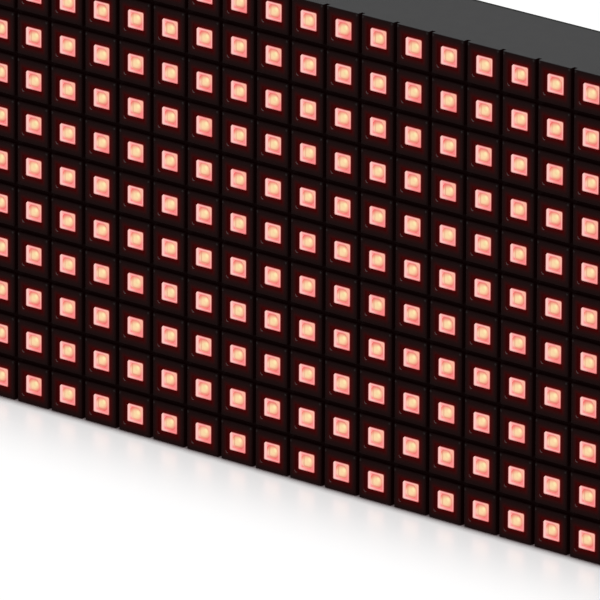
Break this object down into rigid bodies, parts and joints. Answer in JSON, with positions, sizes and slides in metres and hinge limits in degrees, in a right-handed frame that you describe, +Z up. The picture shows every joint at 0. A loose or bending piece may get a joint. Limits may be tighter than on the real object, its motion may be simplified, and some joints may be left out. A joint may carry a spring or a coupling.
{
  "type": "led dot matrix",
  "caption": "Flat rectangular LED display module: a black tiled front mask with a lit square lamp in each tile, and an open rear frame with plugs and bolt points.",
  "frame": {"origin": "centre of the footprint, on the surface that the long bottom edge stands on", "axes": "+X along the module, to the right seen from the lit side; +Y from the lit face to the rear; +Z up"},
  "size_m": [0.1914, 0.015, 0.0654],
  "materials": {
    "mask_plastic": "fine matt moulded black with warm dark tint",
    "board_laminate": "black solder mask over copper tracks",
    "frame_plastic": "lightly spark-eroded black moulding",
    "led_housing": "white reflector housing lit red",
    "led_resin": "clear resin lit red, warm at the chip",
    "insert_brass": "knurled and turned",
    "screw_steel": "zinc plated",
    "header_plastic": "glass-filled black",
    "pin_gold": "flash gold plate",
    "power_plastic": "natural nylon",
    "pin_tin": "tin plate",
    "ic_epoxy": "moulded epoxy with tinned feet",
    "resistor_glaze": "glazed, tinned ends",
    "capacitor_ceramic": "tan ceramic, tinned ends",
    "can_base": "moulded black",
    "can_aluminium": "drawn can"
  },
  "bodies": {
    "root": {"front_mask": "mask_plastic", "circuit_board": "board_laminate", "rear_frame": "frame_plastic", "mount_inserts": "insert_brass", "case_screws": "screw_steel", "data_header_in": "header_plastic", "data_header_out": "header_plastic", "data_pins_in": "pin_gold", "data_pins_out": "pin_gold", "power_header": "power_plastic", "power_pins": "pin_tin", "driver_ics": "ic_epoxy", "line_buffers": "ic_epoxy", "row_decoder": "ic_epoxy", "row_switches": "ic_epoxy", "chip_resistors": "resistor_glaze", "chip_capacitors": "capacitor_ceramic", "capacitor_bases": "can_base", "capacitor_cans": "can_aluminium", "led_row_01": "led_housing", "led_row_02": "led_housing", "led_row_03": "led_housing", "led_row_04": "led_housing", "led_row_05": "led_housing", "led_row_06": "led_housing", "led_row_07": "led_housing", "led_row_08": "led_housing", "led_row_09": "led_housing", "led_row_10": "led_housing", "led_row_11": "led_housing", "led_resin_01": "led_resin", "led_resin_02": "led_resin", "led_resin_03": "led_resin", "led_resin_04": "led_resin", "led_resin_05": "led_resin", "led_resin_06": "led_resin", "led_resin_07": "led_resin", "led_resin_08": "led_resin", "led_resin_09": "led_resin", "led_resin_10": "led_resin", "led_resin_11": "led_resin"}
  },
  "joints": []
}
